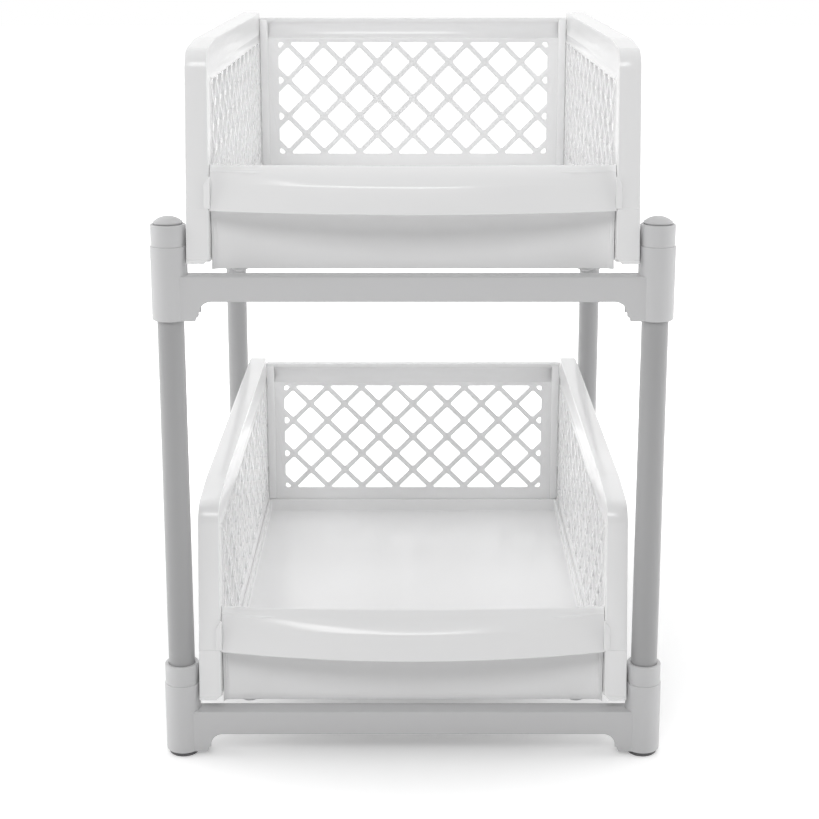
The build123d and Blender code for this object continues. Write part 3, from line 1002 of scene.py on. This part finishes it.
def front_model():
    """Handle front of a drawer."""
    bm = bmesh.new()
    rings = []
    for k in range(lip_stations + 1):
        x = back_x * (2 * k / lip_stations - 1)
        rings.append([(x, p.x, p.y) for p in lip_section(x)])
    skin(bm, rings)
    panel_x = inner_x - front_gap
    scoop(bm, panel_x)
    drop = front_bottom - bump_low
    bend = (bump_width**2 / 4 + drop**2) / (2 * drop)
    spread = asin(bump_width / 2 / bend)
    for side in (-1, 1):
        bump = []
        for k in range(arc_steps + 1):
            angle = spread * (2 * k / arc_steps - 1)
            bump.append(Vector((side * bump_x + bend * sin(angle), bump_low + bend * (1 - cos(angle)))))
        bump += [bump[-1] + Vector((0, root)), bump[0] + Vector((0, root))]
        slab(bm, bump, bump_front, bump_front + bump_depth, block_edge, in_front, 2)
    ear_front, ear_back = waist_back + lip_wall / 2, tray_front + ear_length
    for side in (-1, 1):
        ear = [
            (panel_x - lip_wall, ear_front),
            (back_x, ear_front),
            (back_x, ear_back),
            (back_x - ear_wall, ear_back),
            (back_x - ear_wall, tray_front),
            (panel_x - lip_wall, tray_front),
        ]
        slab(bm, one_hand(ear, side), ear_low, waist + lip_wall, fine_edge, in_plan, 2)
        cheek_x = back_x + cheek_width
        cheek = [
            (back_x - cheek_root, cheek_low),
            (cheek_x, cheek_low),
            (cheek_x, cheek_high - cheek_slope),
            (back_x, cheek_high),
            (back_x - cheek_root, cheek_high),
        ]
        slab(bm, one_hand(cheek, side), 0, cheek_depth, fine_edge, on_stile, 2)
        for y, z in front_nubs:
            x0, x1 = sorted((side * (back_x - root), side * sheet_x))
            block(bm, x0, x1, y, y + nub_length, z, z + nub_height, fine_edge)
    return bm


front_mesh = mesh_of(front_model(), "handle_front", drawer_white)
for tier, origin in tiers.items():
    name, node = f"drawer_{tier}_handle_front", f"{tier}_handle_front"
    set_piece(name, front_mesh, node, f"{tier}_drawer", origin)

# Studio
# A pale floor that keeps the stand's shadow, with a painted glow for rays that see it directly,
# faint near the stand and brightening it to white away from it, a white surround and five soft
# lamps. They aren't part of the organizer. Each lamp has a place, a point that it faces, a width
# and height in metres and a power in watts.
floor_size = 12.0
floor_tone = 0.92
floor_near, floor_far = 0.16, 0.5
near_glow, far_glow = 0.24, 1.0
fill = 0.22
lamp_white = (1, 1, 1)


def seen_directly(nodes, links):
    """Share that is 1 for rays that show the background itself."""
    path = nodes.new("ShaderNodeLightPath")
    total = None
    for ray in ("Is Camera Ray", "Is Glossy Ray", "Is Transmission Ray"):
        if total is None:
            total = path.outputs[ray]
            continue
        add = nodes.new("ShaderNodeMath")
        add.operation = "ADD"
        add.use_clamp = True
        links.new(total, add.inputs[0])
        links.new(path.outputs[ray], add.inputs[1])
        total = add.outputs[0]
    return total


world = bpy.data.worlds.new("white_surround")
bpy.context.scene.world = world
world.use_nodes = True
nodes, links = world.node_tree.nodes, world.node_tree.links
surround = nodes["Background"]
surround.inputs["Color"].default_value = (1, 1, 1, 1)
strength = nodes.new("ShaderNodeMapRange")
strength.inputs["To Min"].default_value = fill
strength.inputs["To Max"].default_value = 1
links.new(seen_directly(nodes, links), strength.inputs["Value"])
links.new(strength.outputs["Result"], surround.inputs["Strength"])

floor_paint = bpy.data.materials.new("pale_floor")
floor_paint.use_nodes = True
nodes, links = floor_paint.node_tree.nodes, floor_paint.node_tree.links
paint = nodes["Principled BSDF"]
paint.inputs["Base Color"].default_value = (floor_tone, floor_tone, floor_tone, 1)
paint.inputs["Roughness"].default_value = 1
paint.inputs["Specular IOR Level"].default_value = 0
# Painted light: the floor glows for rays that see it directly, faintly near the stand and fully white
# from floor_far on, on top of the lit floor and its shadow.
glow = nodes.new("ShaderNodeEmission")
both = nodes.new("ShaderNodeAddShader")
links.new(paint.outputs["BSDF"], both.inputs[0])
links.new(glow.outputs["Emission"], both.inputs[1])
ground = nodes.new("ShaderNodeTexCoord")
reach = nodes.new("ShaderNodeVectorMath")
reach.operation = "LENGTH"
links.new(ground.outputs["Object"], reach.inputs[0])
glow_ramp = nodes.new("ShaderNodeMapRange")
glow_ramp.inputs["From Min"].default_value = floor_near
glow_ramp.inputs["From Max"].default_value = floor_far
glow_ramp.inputs["To Min"].default_value = near_glow
glow_ramp.inputs["To Max"].default_value = far_glow
links.new(reach.outputs["Value"], glow_ramp.inputs["Value"])
share = nodes.new("ShaderNodeMath")
share.operation = "MULTIPLY"
links.new(glow_ramp.outputs["Result"], share.inputs[0])
links.new(seen_directly(nodes, links), share.inputs[1])
links.new(share.outputs[0], glow.inputs["Strength"])
links.new(both.outputs["Shader"], nodes["Material Output"].inputs["Surface"])
floor_bm = bmesh.new()
bmesh.ops.create_grid(floor_bm, x_segments=1, y_segments=1, size=floor_size / 2)
floor_mesh = bpy.data.meshes.new("floor")
floor_bm.to_mesh(floor_mesh)
floor_bm.free()
floor_mesh.materials.append(floor_paint)
floor = bpy.data.objects.new("floor", floor_mesh)
bpy.context.collection.objects.link(floor)

lamps = {
    "front_softbox": ((-0.14, -1.19, 1.14), (0, -0.15, 0.2), (0.76, 0.44), 5.8),
    "top_panel": ((0, 0.3, 1.6), (0, 0.1, 0.1), (1.6, 1.2), 6.0),
    "left_panel": ((-1.3, 0, 0.6), (0, 0, 0.2), (1.4, 1.0), 9.6),
    "right_panel": ((1.3, 0, 0.6), (0, 0, 0.2), (1.4, 1.0), 8.6),
    "back_panel": ((0, 1.3, 0.8), (0, 0.05, 0.2), (1.8, 1.2), 8.5),
}
for name, (place, target, size, power) in lamps.items():
    lamp = bpy.data.lights.new(name, "AREA")
    lamp.shape = "RECTANGLE"
    lamp.size, lamp.size_y = size
    lamp.energy = power
    lamp.color = lamp_white
    holder = bpy.data.objects.new(name, lamp)
    bpy.context.collection.objects.link(holder)
    holder.location = place
    aim = Vector(target) - Vector(place)
    holder.rotation_euler = aim.to_track_quat("-Z", "Y").to_euler()
    holder.visible_camera = False
    holder.visible_glossy = name == "front_softbox"

# Camera
# Straight in front of the organizer and a little above its top, turned down so that the whole of it
# shows, with a small shift that frames it as the photograph does.
frame_pixels = 819
focal_pixels = 1700.0
sensor = 36.0
camera_distance = 0.7895
camera_height = 0.4084
camera_pitch = radians(13.01)
camera_shift_x, camera_shift_y = -0.0042, -0.115
camera = bpy.data.cameras.new("camera")
camera.sensor_width = sensor
camera.lens = focal_pixels / frame_pixels * sensor
camera.shift_x = camera_shift_x
camera.shift_y = camera_shift_y
eye = bpy.data.objects.new("camera", camera)
bpy.context.collection.objects.link(eye)
eye.location = (0, front_y * mm - camera_distance, camera_height)
eye.rotation_euler = (pi / 2 - camera_pitch, 0, 0)
bpy.context.scene.camera = eye
bpy.context.scene.view_settings.view_transform = "Standard"
